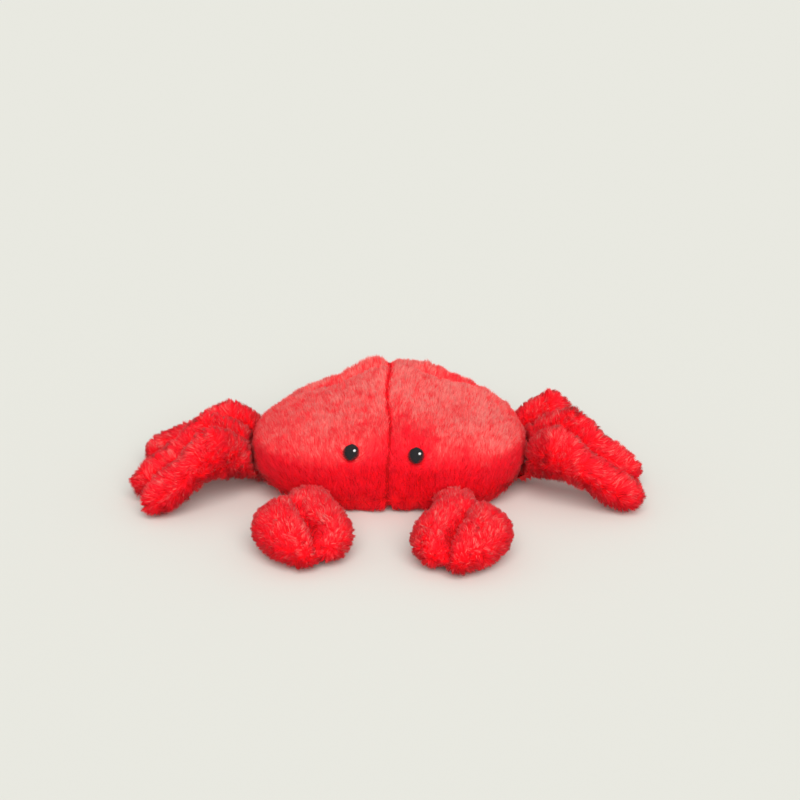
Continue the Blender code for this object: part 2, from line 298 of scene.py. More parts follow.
HOLLOW_STEP = 0.00022
SAG_TOP = 0.016
SAG = 0.0032

# Reach of the hollow between two pieces, and its depth against a limb and against the body; the
# hollows shorten the pile and darken the limbs' pile as painted shade
BETWEEN_WIDTH = 0.0050
BETWEEN_SHARE = 0.85
ROOT_SHARE = 0.20


def evaluated_copy(obj):
    """The mesh of an object with its modifiers applied, as a new mesh."""
    depsgraph = bpy.context.evaluated_depsgraph_get()
    return bpy.data.meshes.new_from_object(obj.evaluated_get(depsgraph), depsgraph=depsgraph)


def smoothed(places, edges, share, rounds):
    """Places moved a share of the way to the mean of their neighbours, several times."""
    counts = np.bincount(edges.ravel(), minlength=len(places)).astype(float)[:, None]
    for _ in range(rounds):
        sums = np.zeros_like(places)
        np.add.at(sums, edges[:, 0], places[edges[:, 1]])
        np.add.at(sums, edges[:, 1], places[edges[:, 0]])
        places = places + share * (sums / np.maximum(counts, 1.0) - places)
    return places


def edge_array(mesh):
    edges = np.zeros(len(mesh.edges) * 2, np.int32)
    mesh.edges.foreach_get("vertices", edges)
    return edges.reshape(-1, 2)


def swell(obj):
    """Cloth filled with pressure, each point moved by the cap at most, then applied."""
    rest, _, _ = mesh_arrays(obj.data)
    cloth = obj.modifiers.new("swell", "CLOTH")
    cloth.settings.quality = 4
    cloth.settings.mass = 0.15
    cloth.settings.use_pressure = True
    cloth.settings.uniform_pressure_force = SWELL_PRESSURE
    cloth.settings.effector_weights.gravity = 0.0
    cloth.collision_settings.use_collision = False
    cloth.point_cache.frame_end = SWELL_FRAMES
    scene = bpy.context.scene
    for step in range(1, SWELL_FRAMES + 1):
        scene.frame_set(step)
    grown = evaluated_copy(obj)
    places, _, _ = mesh_arrays(grown)
    bpy.data.meshes.remove(grown)
    obj.modifiers.remove(cloth)
    scene.frame_set(1)
    moved = places - rest
    lengths = np.linalg.norm(moved, axis=1, keepdims=True)
    share = np.minimum(1.0, SWELL_CAP / np.maximum(lengths, 1e-9))
    set_places(obj.data, rest + moved * share)


def make_skin(node, inset, material):
    """Stuffed skin that stands for a CAD node, set in from the pile's mean level."""
    obj = bpy.data.objects.new(node + "_skin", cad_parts[node].data.copy())
    bpy.context.scene.collection.objects.link(obj)
    remesh = obj.modifiers.new("remesh", "REMESH")
    remesh.mode = "VOXEL"
    remesh.voxel_size = SKIN_VOXEL
    bpy.context.view_layer.update()
    mesh = evaluated_copy(obj)
    obj.modifiers.remove(remesh)
    obj.data = mesh
    mesh.name = node + "_skin"
    edges = edge_array(mesh)
    places, _, _ = mesh_arrays(mesh)
    set_places(mesh, smoothed(places, edges, 0.5, 2))
    places, normals, _ = mesh_arrays(mesh)
    normals = unit(smoothed(normals, edges, 0.5, 4))
    inward = inset + SWELL_CAP * SWELL_ALLOWANCE
    set_places(mesh, smoothed(places - normals * inward, edges, 0.4, 1))
    swell(obj)
    mesh.materials.clear()
    mesh.materials.append(material)
    mesh.shade_smooth()
    return obj


def hollows_of(mesh):
    """How deep each point lies in a crease, from 0 on open skin to 1 in a tight fold."""
    places, normals, _ = mesh_arrays(mesh)
    edges = edge_array(mesh)
    toward = smoothed(places, edges, 1.0, 1) - places
    inward = np.sum(toward * normals, axis=1, keepdims=True)
    return fade(smoothed(inward, edges, 0.5, 2)[:, 0] / HOLLOW_STEP)


def settle(obj):
    """Let the lowest part of a skin sag to just above the floor."""
    places, _, _ = mesh_arrays(obj.data)
    share = fade((SAG_TOP - places[:, 2]) / SAG_TOP)
    places[:, 2] = np.maximum(places[:, 2] - SAG * share, SKIN_LEAST_Z)
    set_places(obj.data, places)


def carve(obj, depths):
    """Move each point of a skin inward by its depth."""
    places, normals, _ = mesh_arrays(obj.data)
    places = places - normals * depths[:, None]
    places[:, 2] = np.maximum(places[:, 2], SKIN_LEAST_Z)
    set_places(obj.data, places)


def past_fold(points):
    """Distance of each point behind the fold across the back."""
    return points[:, 1] - FACE_Y - FOLD_PLACE + FOLD_SLANT * np.abs(aside_of(points))


def in_fold(points, normals):
    """Share of the fold across the back that reaches each point, none at the centre ridge."""
    aside = aside_of(points)
    ridge = bell(aside - RIDGE_X, RIDGE_WIDTH)
    reach = np.where(aside < 0.0, FOLD_REACH_LEFT, FOLD_REACH_RIGHT)
    ends = fade((reach - np.abs(aside)) / FOLD_END)
    return bell(past_fold(points), FOLD_WIDTH) * fade(normals[:, 2] * 2.0) * (1.0 - ridge) * ends


def cleft_of(node):
    """Line of the cleft of one claw, seen from above."""
    low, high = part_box(node)
    left = node.endswith("left")
    return np.array([(low.x + inward if left else high.x - inward, low.y + behind)
                     for inward, behind in CLEFT])


def in_cleft(points, normals, line):
    """Share of the cleft that reaches each point, and the way out of it, seen from above."""
    flat = points[:, :2]
    nearest = np.full(len(points), 1.0)
    away = np.zeros((len(points), 2))
    for start, end in zip(line[:-1], line[1:]):
        along = end - start
        share = fade(((flat - start) @ along) / (along @ along))[:, None]
        gap = flat - start - share * along
        distance = np.linalg.norm(gap, axis=1)
        closer = distance < nearest
        nearest = np.where(closer, distance, nearest)
        away = np.where(closer[:, None], gap, away)
    depth = bell(nearest, CLEFT_WIDTH) * fade(normals[:, 2] * 2.5 + 0.8)
    out = np.concatenate((unit(away), np.zeros((len(points), 1))), axis=1)
    return depth, out


def make_skins(trees, material):
    """Skins of all the soft pieces, and how deep each point of them lies in a hollow."""
    skins = {}
    for node in SOFT_NODES:
        skin = make_skin(node, BODY_INSET if node == "body" else LIMB_INSET, material)
        skins[node] = skin
        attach(skin, "root")
        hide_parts(node)
    hollows = {node: hollows_of(skin.data) for node, skin in skins.items()}

    places, normals, _ = mesh_arrays(skins["body"].data)
    carve(skins["body"], SEAM_FURROW * bell(aside_of(places), SEAM_FURROW_WIDTH)
          + FOLD_DEPTH * in_fold(places, normals))
    settle(skins["body"])
    for node in CLAWS:
        places, normals, _ = mesh_arrays(skins[node].data)
        depth, _ = in_cleft(places, normals, cleft_of(node))
        hollows[node] = np.maximum(hollows[node], depth)
        carve(skins[node], CLEFT_DEPTH * depth)
    for node in LEGS + CLAWS:
        places, _, _ = mesh_arrays(skins[node].data)
        for other in SOFT_NODES:
            if other != node:
                near = distances_to(trees[other], places)
                share = ROOT_SHARE if other == "body" else BETWEEN_SHARE
                hollows[node] = np.maximum(hollows[node], share * bell(near, BETWEEN_WIDTH))
    return skins, hollows


# Pile

class Pile:
    """How the pile of one piece grows: lengths in metres, angles from the skin in degrees."""

    def __init__(self, length, width, start_angle, end_angle, clump, pull, wave, spread, tuft,
                 fleck, grain):
        self.length = length
        self.width = width
        self.start_angle = start_angle
        self.end_angle = end_angle
        self.clump = clump
        self.pull = pull
        self.wave = wave
        self.spread = spread
        self.tuft = tuft
        self.fleck = fleck
        self.grain = grain


BODY_PILE = Pile(length=0.0060, width=0.00052, start_angle=34.0, end_angle=5.0,
                 clump=0.0024, pull=0.28, wave=0.12, spread=0.22, tuft=0.05, fleck=0.42,
                 grain=0.06)
LEG_PILE = Pile(length=0.0052, width=0.00058, start_angle=57.0, end_angle=34.0,
                clump=0.0027, pull=0.50, wave=0.42, spread=0.38, tuft=0.10, fleck=0.24,
                grain=0.15)
CLAW_PILE = Pile(length=0.0038, width=0.00058, start_angle=68.0, end_angle=50.0,
                 clump=0.0023, pull=0.55, wave=0.50, spread=0.50, tuft=0.14, fleck=0.24,
                 grain=0.16)
BODY_SIDE_STRANDS = 62000
BELLY_STRANDS = 12000
LEG_STRANDS = 19000
CLAW_STRANDS = 29000

STRAND_SEGMENTS = 2
STRAND_SIDES = 3
STRAND_LENGTHS = (0.72, 1.12)
STRAND_WIDTHS = (0.85, 1.35)
STRAND_LEAST_Z = 0.0003
LIFT_SPREAD = 0.10
FEWEST_CLUMPS = 8

# Wavelengths of the ripples in lean and lift, in clump sizes
LEAN_RIPPLES = (9.0, 3.5)
LIFT_RIPPLE = 4.0

# Share of the tuft value that goes to length, and how late a strand is drawn to its clump
TUFT_LENGTH = 0.6
PULL_POWER = 1.3

# How far a base corner's shading turns outward, and the scatter of the strands' shading
ROUNDNESS = 1.2
SHADING_SPREAD = 0.18
CLUMP_SHADING = (0.04, 0.4)

# Patches of tone as (wavelength, strength), tone steps between clumps, and darker clump edges as
# painted shade in the gaps between clumps
BROAD_PATCH = (0.030, 0.025)
FINE_PATCH = (0.009, 0.015)
CLUMP_TONE = (0.02, 0.45)
CLUMP_EDGE = 0.35
CLUMP_EDGE_PAINTED_SHADE = 0.18
FLECK_SHARE = 0.07
TONE_LIMITS = (0.02, 0.97)
MAP_HALF_WIDTH = 0.004
MAP_MARGIN = 0.02


def triangle_areas(places, triangles):
    corners = places[triangles]
    return 0.5 * np.linalg.norm(
        np.cross(corners[:, 1] - corners[:, 0], corners[:, 2] - corners[:, 0]), axis=1)


def scatter(surface, hollows, weights, count, rng):
    """Random roots over a surface, denser where the weights are higher."""
    places, normals, triangles = surface
    shares = triangle_areas(places, triangles) * weights[triangles].mean(axis=1)
    cumulative = np.cumsum(shares)
    chosen = np.searchsorted(cumulative, rng.uniform(0.0, cumulative[-1], count))
    chosen = np.minimum(chosen, len(triangles) - 1)
    first, second = rng.uniform(size=count), rng.uniform(size=count)
    over = first + second > 1.0
    first[over], second[over] = 1.0 - first[over], 1.0 - second[over]
    mix = np.stack((1.0 - first - second, first, second), axis=1)[:, :, None]
    picked = triangles[chosen]
    return ((places[picked] * mix).sum(axis=1), unit((normals[picked] * mix).sum(axis=1)),
            (hollows[picked] * mix[:, :, 0]).sum(axis=1))


def centrelines(roots, normals, leans, lengths, pile, lift):
    """Points along each strand, from its root to its tip, bending over as it rises."""
    points = [roots]
    here = roots
    for segment in range(STRAND_SEGMENTS):
        share = segment / (STRAND_SEGMENTS - 1)
        angle = np.radians(pile.start_angle * (1.0 - share) + pile.end_angle * share) + lift
        step = normals * np.sin(angle)[:, None] + leans * np.cos(angle)[:, None]
        here = here + step * (lengths / STRAND_SEGMENTS)[:, None]
        points.append(here)
    return points


def nearest_of(centres, points):
    tree = KDTree(len(centres))
    for index, centre in enumerate(centres):
        tree.insert(centre, index)
    tree.balance()
    return np.array([tree.find(point)[1] for point in points])


def strand_lines(strands, clumps, home, pile, lean_of, shape_of, rng):
    """Centrelines of the strands, each drawn toward the middle of its own clump."""
    roots, normals, _ = strands
    clump_roots, clump_normals, _ = clumps
    count, clump_count = len(roots), len(clump_roots)
    every_root, every_normal, every_hollow = (
        np.concatenate(pair) for pair in zip(strands, clumps))
    every_home = np.concatenate((home, np.arange(clump_count)))

    leans = lean_of(every_root, every_normal)
    for size in LEAN_RIPPLES:
        leans = leans + ripple_vectors(every_root, pile.clump * size, rng) * pile.wave
    leans = unit(on_surface(leans, every_normal))
    share_long, lift = shape_of(every_root, every_normal, every_hollow)
    lift = lift + ripple(every_root, pile.clump * LIFT_RIPPLE, rng) * LIFT_SPREAD
    lift = lift + (rng.normal(size=clump_count) * pile.tuft)[every_home]
    lengths = pile.length * share_long
    uneven = rng.normal(size=clump_count) * pile.tuft * TUFT_LENGTH
    lengths = lengths * (1.0 + uneven)[every_home]

    main, own = slice(0, count), slice(count, None)
    loose = unit(on_surface(leans[main] + rng.normal(size=(count, 3)) * pile.spread, normals))
    strand_lengths = lengths[main] * rng.uniform(*STRAND_LENGTHS, count)
    strand_lift = lift[main] + rng.normal(size=count) * LIFT_SPREAD
    lines = centrelines(roots, normals, loose, strand_lengths, pile, strand_lift)
    clump_lines = centrelines(clump_roots, clump_normals, leans[own], lengths[own], pile, lift[own])
    pulled = [lines[0]]
    for step in range(1, len(lines)):
        share = pile.pull * (step / STRAND_SEGMENTS) ** PULL_POWER
        pulled.append(lines[step] + (clump_lines[step][home] - lines[step]) * share)
    return pulled


def strand_tones(strands, clumps, home, pile, tone_of, rng):
    """Tone of each strand: patches, steps between clumps, painted shade at the clump edges, and
    flecks.
    """
    roots, count = strands[0], len(strands[0])
    clump_roots = clumps[0]
    tone = tone_of(*strands)
    tone += (BROAD_PATCH[1] * ripple(roots, BROAD_PATCH[0], rng)
             + FINE_PATCH[1] * ripple(roots, FINE_PATCH[0], rng))
    step = CLUMP_TONE[0] + pile.tuft * CLUMP_TONE[1]
    tone += step * rng.normal(size=len(clump_roots))[home]
    from_home = np.linalg.norm(roots - clump_roots[home], axis=1) / pile.clump
    # Painted shade at the clump edges, in the gaps between clumps
    tone -= CLUMP_EDGE_PAINTED_SHADE * fade(from_home - CLUMP_EDGE)
    tone += rng.normal(size=count) * pile.grain
    tone -= pile.fleck * (rng.uniform(size=count) < FLECK_SHARE)
    return np.clip(tone, *TONE_LIMITS)


def spike_points(lines, normals, pile, rng):
    """Base corners and tip of each strand, as an array of strands by points."""
    count = len(normals)
    along = unit(lines[-1] - lines[0])
    side = unit(np.cross(along, normals))
    over = np.cross(side, along)
    half = pile.width * 0.5 * rng.uniform(*STRAND_WIDTHS, count)
    turn = rng.uniform(0.0, 2.0 * math.pi, count)
    rows = []
    for corner in range(STRAND_SIDES):
        angle = turn + 2.0 * math.pi * corner / STRAND_SIDES
        rows.append(lines[0] + (side * np.cos(angle)[:, None] + over * np.sin(angle)[:, None])
                    * half[:, None])
    rows.append(lines[-1])
    points = np.stack(rows, axis=1)
    points[:, :, 2] = np.maximum(points[:, :, 2], STRAND_LEAST_Z)
    return points


def spike_shading(points, roots, normals, home, clump_count, pile, rng):
    """Shading normals: the skin's with some scatter, turned outward at the base corners."""
    clump_spread = CLUMP_SHADING[0] + pile.tuft * CLUMP_SHADING[1]
    face = unit(normals + rng.normal(size=normals.shape) * SHADING_SPREAD
                + (rng.normal(size=(clump_count, 3)) * clump_spread)[home])
    shading = np.repeat(face[:, None, :], points.shape[1], axis=1)
    outward = unit(points[:, :STRAND_SIDES] - roots[:, None, :])
    shading[:, :STRAND_SIDES] = unit(shading[:, :STRAND_SIDES] + ROUNDNESS * outward)
    return shading


def spike_mesh(name, points, tone, shading):
    """Mesh of three-sided spikes without a base, mapped by tone and by height."""
    count, per, _ = points.shape
    pattern = np.array([((corner + 1) % STRAND_SIDES, corner, STRAND_SIDES)
                        for corner in range(STRAND_SIDES)], np.int32).ravel()
    offsets = (np.arange(count, dtype=np.int64) * per)[:, None]
    loops = (pattern[None, :] + offsets).ravel().astype(np.int32)
    faces = count * STRAND_SIDES

    mesh = bpy.data.meshes.new(name)
    mesh.vertices.add(count * per)
    mesh.vertices.foreach_set("co", points.astype(np.float32).ravel())
    mesh.loops.add(len(loops))
    mesh.loops.foreach_set("vertex_index", loops)
    mesh.polygons.add(faces)
    mesh.polygons.foreach_set("loop_start", np.arange(faces, dtype=np.int32) * 3)
    mesh.polygons.foreach_set("loop_total", np.full(faces, 3, np.int32))
    mesh.update(calc_edges=True)
    mesh.shade_smooth()
    layer = mesh.uv_layers.new(name="OFBake")
    across = np.array([-MAP_HALF_WIDTH, MAP_HALF_WIDTH, 0.0, 0.0])
    heights = np.array([0.0] * STRAND_SIDES + [1.0])
    map_x = tone[:, None] + across[None, :]
    heights = heights * (1.0 - 2.0 * MAP_MARGIN) + MAP_MARGIN
    map_y = np.broadcast_to(heights[None, :], map_x.shape)
    per_point = np.stack((map_x, map_y), axis=2).reshape(-1, 2)
    layer.data.foreach_set("uv", per_point[loops].astype(np.float32).ravel())
    mesh.normals_split_custom_set_from_vertices(shading.reshape(-1, 3).tolist())
    return mesh


def grow_pile(name, skin, hollows, pile, count, weights, rules, material, seed):
    """Strands over a skin, gathered in clumps, as one mesh; the rules say how they lie."""
    rng = np.random.default_rng(seed)
    lean_of, shape_of, tone_of = rules
    surface = mesh_arrays(skin.data)
    strands = scatter(surface, hollows, weights, count, rng)
    area = triangle_areas(surface[0], surface[2]).sum()
    clump_count = max(FEWEST_CLUMPS, int(area / pile.clump ** 2))
    clumps = scatter(surface, hollows, np.ones(len(surface[0])), clump_count, rng)
    home = nearest_of(clumps[0], strands[0])

    lines = strand_lines(strands, clumps, home, pile, lean_of, shape_of, rng)
    tone = strand_tones(strands, clumps, home, pile, tone_of, rng)
    points = spike_points(lines, strands[1], pile, rng)
    shading = spike_shading(points, lines[0], strands[1], home, clump_count, pile, rng)
    mesh = spike_mesh(name, points, tone, shading)
    mesh.materials.append(material)
    obj = bpy.data.objects.new(name, mesh)
    bpy.context.scene.collection.objects.link(obj)
    obj.parent = skin
    return obj


# Eyes

EYE_ROWS = 20
EYE_THREAD = 0.00034
EYE_CROWN_SHARE = 0.75
EYE_LIFT = -0.0002
HIGHLIGHT_HALF_ACROSS = 0.00092
HIGHLIGHT_HALF_TALL = 0.00086
HIGHLIGHT_CROWN = 0.00022
HIGHLIGHT_ROWS = 4
HIGHLIGHT_THREAD = 0.00024
HIGHLIGHT_LIFT = 0.00005

THREAD_SIDES = 6
THREAD_STEPS = 9
THREAD_END_THICKNESS = 0.35
THREAD_FLATNESS = 0.7
ROW_UNEVENNESS = 0.04

# How far the arch falls toward the oval's top and bottom, and toward its ends
ARCH_TALL = 0.8
ARCH_ACROSS = 0.92


class EyeSeat:
    """Place of an eye: its middle, its axes across, up and outward, and its half sizes."""

    def __init__(self, node):
        places, _, _ = mesh_arrays(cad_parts[node].data)
        low, high = places.min(axis=0), places.max(axis=0)
        self.middle = (low + high) / 2
        spread = places - self.middle
        _, axes = np.linalg.eigh(spread.T @ spread)
        out = axes[:, 0]
        self.out = out if out[1] < 0.0 else -out
        self.right = unit(np.cross(UP, self.out))
        self.up = np.cross(self.out, self.right)
        self.half_across = np.abs(spread @ self.right).max()
        self.half_tall = np.abs(spread @ self.up).max()
        self.half_thick = np.abs(spread @ self.out).max()

    def shares(self, points):
        """Distance from the middle, where 1 is the eye's edge, and the way outward from it."""
        away = points - self.middle
        x = away @ self.right / self.half_across
        y = away @ self.up / self.half_tall
        radial = unit(x[:, None] * self.right + y[:, None] * self.up)
        depth = np.abs(away @ self.out)
        return np.where(depth < 0.02, np.hypot(x, y), 99.0), radial


EYE_SEATS = (EyeSeat("eye_left"), EyeSeat("eye_right"))


def stitches(name, seat, half_across, half_tall, crown, rows, thread, lift, material):
    """Satin stitches side by side across an oval, each a thin tube that arches over it."""
    points, faces = [], []
    for index in range(rows):
        share = (index + 0.5) / rows * 2.0 - 1.0
        reach = half_across * math.sqrt(max(0.0, 1.0 - share ** 2))
        reach *= 1.0 + ROW_UNEVENNESS * (-1) ** index
        base = len(points)
        for step in range(THREAD_STEPS + 1):
            along = -1.0 + 2.0 * step / THREAD_STEPS
            x = reach * along
            y = half_tall * share
            fallen = min(1.0, share ** 2 * ARCH_TALL + along ** 2 * ARCH_ACROSS)
            high = crown * math.sqrt(1.0 - fallen)
            narrowing = math.sqrt(max(0.0, 1.0 - along ** 2))
            thick = thread * (THREAD_END_THICKNESS + (1.0 - THREAD_END_THICKNESS) * narrowing)
            for side in range(THREAD_SIDES):
                turn = 2.0 * math.pi * side / THREAD_SIDES
                rise = lift + high + thick * THREAD_FLATNESS * math.sin(turn)
                points.append(seat.middle + seat.right * x
                              + seat.up * (y + thick * math.cos(turn)) + seat.out * rise)
        for step in range(THREAD_STEPS):
            low = base + step * THREAD_SIDES
            next_row = low + THREAD_SIDES
            for side in range(THREAD_SIDES):
                after = (side + 1) % THREAD_SIDES
                faces.append((low + side, low + after, next_row + after, next_row + side))
        last = base + THREAD_STEPS * THREAD_SIDES
        faces.append(tuple(base + side for side in reversed(range(THREAD_SIDES))))
        faces.append(tuple(last + side for side in range(THREAD_SIDES)))
    mesh = bpy.data.meshes.new(name)
    mesh.from_pydata([tuple(p) for p in points], [], faces)
    mesh.update()
    mesh.shade_smooth()
    mesh.materials.append(material)
    obj = bpy.data.objects.new(name, mesh)
    bpy.context.scene.collection.objects.link(obj)
    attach(obj, "root")
    return obj


def make_eyes():
    """Black satin ovals, each with its small white stitches."""
    black = thread_material("black_thread", BLACK_THREAD, 0.7, 0.0)
    white = thread_material("white_thread", WHITE_THREAD, 0.5, 0.2)
    for label, seat in zip(("left", "right"), EYE_SEATS):
        eye = stitches("eye_" + label + "_stitches", seat, seat.half_across, seat.half_tall,
                       seat.half_thick * EYE_CROWN_SHARE, EYE_ROWS, EYE_THREAD, EYE_LIFT, black)
        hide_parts("eye_" + label)
        dot = EyeSeat("eye_highlight_" + label)
        dot.out, dot.right, dot.up = seat.out, seat.right, seat.up
        light = stitches("eye_highlight_" + label + "_stitches", dot, HIGHLIGHT_HALF_ACROSS,
                         HIGHLIGHT_HALF_TALL, HIGHLIGHT_CROWN, HIGHLIGHT_ROWS, HIGHLIGHT_THREAD,
                         HIGHLIGHT_LIFT, white)
        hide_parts("eye_highlight_" + label)


# Pile of the body: how it leans, how long it is and its tone

HEM_TOP = 0.012
REARWARD = np.array((0.0, 0.3, 0.1))

# Parting along the middle of the back, closer parting at the seam, and inward comb low right
PARTING = 0.25
PARTING_WIDTH = 0.03
SEAM_PARTING = 0.35
SEAM_PARTING_WIDTH = 0.0030
COMB = 0.8
COMB_ACROSS = 0.06
COMB_TOP = 0.04
COMB_FADE = 0.03

# Parting around each eye, with 1 at the eye's edge, and shorter pile there
EYE_PARTING = 1.4
EYE_PARTING_REACH = 2.3
EYE_PARTING_FADE = 1.3
EYE_SHORTER = 0.52
EYE_SHORTER_REACH = 2.0

# Shorter and flatter pile in the seam, and shorter pile in the fold
SEAM_SHORTER = 0.25
SEAM_SHORTER_WIDTH = 0.0016
SEAM_LIFT = -0.10
SEAM_LIFT_WIDTH = 0.004
FOLD_SHORTER = 0.45

# Patch over the eyes, measured from the seam and from the face, where the painted light on top is
# weaker and starts higher, so the pile stays redder
BROW_X = 0.006
BROW_WIDTH = 0.024
BROW_REACH = 0.052
BROW_FADE = 0.035
BROW_LIGHT_CUT = 0.53
BROW_RISE = 0.35

# Painted light on the right shoulder, from the seam, and painted shade on the rear lobe behind the
# fold there
SHOULDER_LIGHT_X = 0.060
SHOULDER_LIGHT_WIDTH = 0.035
SHOULDER_PAINTED_LIGHT = 0.08
REAR_LOBE_PAINTED_SHADE = 0.12

# Tone of the front low down, and the painted light that upward faces and height add to it
BODY_TONE = 0.35
BODY_PAINTED_LIGHT = 0.57
FACING_SHARE = 0.62
FACING_LOW = -0.35
FACING_HIGH = 1.05
HEIGHT_LOW = 0.012
HEIGHT_SPAN = 0.044
BEHIND_FADE = 0.006
BEHIND_TONE = 0.06
# Painted shade in the fold across the back
FOLD_PAINTED_SHADE = 0.06
SEAM_TONE = 0.85
SEAM_LINE_WIDTH = 0.0008
SEAM_LEVEL_WIDTH = 0.0040


def body_lean(points, normals):
    """Up the face, rearward over the back and away from the seam."""
    leans = -np.cross(np.broadcast_to(ACROSS, normals.shape), normals)
    leans = leans + on_surface(np.broadcast_to(REARWARD, normals.shape), normals)
    aside = aside_of(points)
    leans = leans + ACROSS * (np.tanh(aside / PARTING_WIDTH) * PARTING)[:, None]
    at_seam = np.sign(aside) * bell(aside, SEAM_PARTING_WIDTH)
    leans = leans + ACROSS * (at_seam * SEAM_PARTING)[:, None]
    low_right = fade(aside / COMB_ACROSS) * fade((COMB_TOP - points[:, 2]) / COMB_FADE)
    leans = leans - ACROSS * (low_right * COMB)[:, None]
    for seat in EYE_SEATS:
        far, radial = seat.shares(points)
        parting = fade((EYE_PARTING_REACH - far) / EYE_PARTING_FADE) * EYE_PARTING
        leans = leans + radial * parting[:, None]
    at_hem = fade((HEM_TOP - points[:, 2]) / HEM_TOP * 2.0)[:, None]
    hang = on_surface(np.broadcast_to(-UP, normals.shape), normals)
    return leans * (1.0 - at_hem) + hang * at_hem


def body_shape(points, normals, hollows):
    """Share of the full length and added lift: shorter at the seam, the fold and the eyes."""
    aside = aside_of(points)
    share = 1.0 - SEAM_SHORTER * bell(aside, SEAM_SHORTER_WIDTH)
    share = share * (1.0 - FOLD_SHORTER * in_fold(points, normals))
    lift = SEAM_LIFT * bell(aside, SEAM_LIFT_WIDTH)
    for seat in EYE_SEATS:
        far, _ = seat.shares(points)
        share = share * (1.0 - EYE_SHORTER * fade(EYE_SHORTER_REACH - far))
    return share, lift


def upward_share(upward, low, high):
    """Smooth step of a normal's height between low and high."""
    share = fade((upward - low) / (high - low))
    return share ** 2 * (3.0 - 2.0 * share)


def body_tone(points, normals, hollows):
    """Painted light on upward faces, higher up and on the right shoulder, less on the brow; painted
    shade in the fold and the right rear lobe; paler behind the fold, dark in the seam.
    """
    aside = aside_of(points)
    from_face = points[:, 1] - FACE_Y
    brow = bell(aside - BROW_X, BROW_WIDTH) * fade((BROW_REACH - from_face) / BROW_FADE)
    height = fade((points[:, 2] - HEIGHT_LOW) / HEIGHT_SPAN)
    upward = normals[:, 2]
    level = np.hypot(normals[:, 0], upward) * np.sign(upward)
    facing = upward + bell(aside, SEAM_LEVEL_WIDTH) * (level - upward)
    # Painted light: the pile is paler on upward faces and higher up
    painted_light = (FACING_SHARE * upward_share(facing, FACING_LOW + BROW_RISE * brow, FACING_HIGH)
              + (1.0 - FACING_SHARE) * height)
    # Less painted light over the brow
    painted_light *= 1.0 - BROW_LIGHT_CUT * brow
    behind = fade(past_fold(points) / BEHIND_FADE)
    # Painted light on the right shoulder, in front of the fold
    shoulder_light = bell(aside - SHOULDER_LIGHT_X, SHOULDER_LIGHT_WIDTH)
    return (BODY_TONE + (BODY_PAINTED_LIGHT + SHOULDER_PAINTED_LIGHT * shoulder_light * (1.0 - behind)) * painted_light
            # Painted shade on the right rear lobe behind the fold
            + BEHIND_TONE * behind - REAR_LOBE_PAINTED_SHADE * shoulder_light * behind
            # Painted shade in the fold across the back
            - FOLD_PAINTED_SHADE * in_fold(points, normals) - SEAM_TONE * bell(aside, SEAM_LINE_WIDTH))


# Pile of the legs and claws

LIMB_RAISE = np.array((0.0, 0.40, 0.50))
KNEE_DEPTH = 0.014
KNEE_BLEND = 0.004
SHIN_OUTWARD = 0.9
SHIN_SHARE = 0.5
SHIN_RAISE = 0.2
CLAW_SWEEP = (0.35, 0.7, 0.7)
CLEFT_PARTING = 1.2
LIMB_HEM_TOP = 0.006
LIMB_HEM_SHORTER = 0.35
HOLLOW_SHORTER = 0.62
HOLLOW_LIFT = -0.25
# Tone of the limbs' pile, with painted light on upward faces and painted shade in hollows
LIMB_TONE = 0.50
LIMB_PAINTED_LIGHT = 0.14
LIMB_FACING_HIGH = 0.90
HOLLOW_PAINTED_SHADE = 0.50


def limb_axis(node):
    """Root, knee and tip of a leg, read from the leg's own solid."""
    places, _, _ = mesh_arrays(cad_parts[node].data)
    outward = np.abs(places[:, 0] - SEAM_X)
    order = np.argsort(outward)
    few = max(8, len(places) // 20)
    root = places[order[:few]].mean(axis=0)
    tip = places[order[-few:]].mean(axis=0)
    top = places[np.argsort(places[:, 2])[-few:]].mean(axis=0)
    return root, top - UP * KNEE_DEPTH, tip


def leg_lean(node):
    """Along the thigh to the knee, then outward along the shin."""
    root, knee, tip = limb_axis(node)
    thigh, shin = unit(knee - root), unit(tip - knee)
    outward = -SHIN_OUTWARD if node.endswith("left") else SHIN_OUTWARD
    shin = unit(shin * SHIN_SHARE + ACROSS * outward + UP * SHIN_RAISE)

    def lean(points, normals):
        past = (points - knee) @ unit(thigh + shin)
        share = 1.0 / (1.0 + np.exp(-past / KNEE_BLEND))
        return thigh * (1.0 - share)[:, None] + shin * share[:, None] + LIMB_RAISE
    return lean


def claw_lean(node):
    """Rearward and up over the claw, and out of its cleft."""
    side = -1.0 if node.endswith("left") else 1.0
    line = cleft_of(node)
    sweep = np.array((side * CLAW_SWEEP[0], CLAW_SWEEP[1], CLAW_SWEEP[2]))

    def lean(points, normals):
        depth, out = in_cleft(points, normals, line)
        return sweep + out * depth[:, None] * CLEFT_PARTING
    return lean


def limb_shape(points, normals, hollows):
    """Share of the full length and added lift: shorter near the floor and in hollows."""
    share = 1.0 - LIMB_HEM_SHORTER * fade((LIMB_HEM_TOP - points[:, 2]) / LIMB_HEM_TOP)
    return share * (1.0 - HOLLOW_SHORTER * hollows), HOLLOW_LIFT * hollows


def limb_tone(points, normals, hollows):
    """Painted light: brighter on upward faces; painted shade: darker in hollows and beside
    neighbouring pieces.
    """
    return (LIMB_TONE + LIMB_PAINTED_LIGHT * upward_share(normals[:, 2], 0.0, LIMB_FACING_HIGH)
            - HOLLOW_PAINTED_SHADE * hollows ** 2)


# How the pile thins beside a neighbour: distance added to the gap, and the least share
NEAR_FADE = 0.003
BODY_BY_LIMB = (0.0005, 0.25)
LIMB_BY_BODY = (0.0010, 0.35)
LIMB_BY_LIMB = (0.0010, 0.15)

